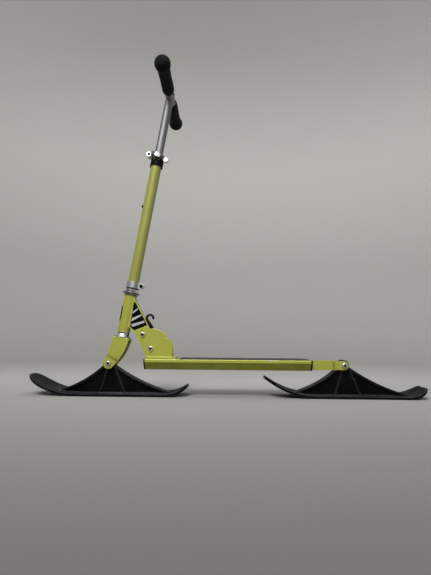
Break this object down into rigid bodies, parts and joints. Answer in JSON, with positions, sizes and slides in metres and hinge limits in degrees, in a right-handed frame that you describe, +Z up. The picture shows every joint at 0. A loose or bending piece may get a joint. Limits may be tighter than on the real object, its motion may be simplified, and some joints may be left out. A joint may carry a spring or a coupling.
{
  "type": "snow kick scooter",
  "caption": "Folding kick scooter for snow: a hollow deck on two pitching moulded skis, a hinged neck, a steered fork and a height-adjustable T-bar.",
  "frame": {"origin": "on the ground under the middle of the bounding box, with both ski soles on z = 0", "axes": "+X to the rear, +Y to the rider's right hand when riding towards -X, +Z up"},
  "size_m": [0.992, 0.332, 0.8168],
  "materials": {
    "green_paint": "satin",
    "black_plastic": "matte",
    "ski_plastic": "semi-gloss",
    "grip_foam": "matte",
    "tape": "gritty",
    "black_steel": "semi-gloss",
    "bright_steel": "brushed",
    "chrome": "polished",
    "silver_aluminium": "satin",
    "button_steel": "dark"
  },
  "bodies": {
    "deck": {"deck": "green_paint", "grip_tape": "tape", "front_end_cap": "black_plastic", "rear_end_cap": "black_plastic", "fold_bracket": "green_paint", "fold_bolt": "bright_steel", "stop_bolt": "bright_steel", "rear_bracket": "green_paint", "rear_axle_bolt": "bright_steel"},
    "neck": {"neck": "green_paint", "front_badge": "black_plastic", "release_lever": "black_steel", "lever_pin": "bright_steel", "lower_headset_cup": "chrome", "upper_headset_cup": "bright_steel"},
    "steerer": {"fork": "green_paint", "front_axle_bolt": "bright_steel", "lock_nut": "bright_steel", "lower_clamp": "silver_aluminium", "lower_clamp_bolt": "bright_steel", "steering_tube": "green_paint", "upper_collar": "black_plastic", "quick_clamp": "silver_aluminium", "quick_bolt": "bright_steel", "quick_lever": "bright_steel", "push_button": "black_plastic"},
    "t_bar": {"t_bar": "silver_aluminium", "left_handle_tube": "silver_aluminium", "right_handle_tube": "silver_aluminium", "left_grip": "grip_foam", "right_grip": "grip_foam", "snap_buttons": "button_steel"},
    "front_ski": {"front_ski": "ski_plastic"},
    "rear_ski": {"rear_ski": "ski_plastic"}
  },
  "joints": [
    {"name": "fold", "type": "hinge", "parent": "deck", "child": "neck", "pos_m": [-0.19, 0, 0.116], "axis": [0, 1, 0], "range_deg": [0, 80]},
    {"name": "steering", "type": "hinge", "parent": "neck", "child": "steerer", "pos_m": [-0.26017, 0, 0.17666], "axis": [0.1633, 0, 0.9866], "range_deg": [-60, 60]},
    {"name": "t_bar_height", "type": "slide", "parent": "steerer", "child": "t_bar", "axis": [0.1633, 0, 0.9866], "range_m": [-0.13, 0]},
    {"name": "front_ski_pitch", "type": "hinge", "parent": "steerer", "child": "front_ski", "pos_m": [-0.296, 0, 0.078], "axis": [0, -1, 0], "range_deg": [-15, 10]},
    {"name": "rear_ski_pitch", "type": "hinge", "parent": "deck", "child": "rear_ski", "pos_m": [0.294, 0, 0.078], "axis": [0, -1, 0], "range_deg": [-3.5, 15]}
  ]
}
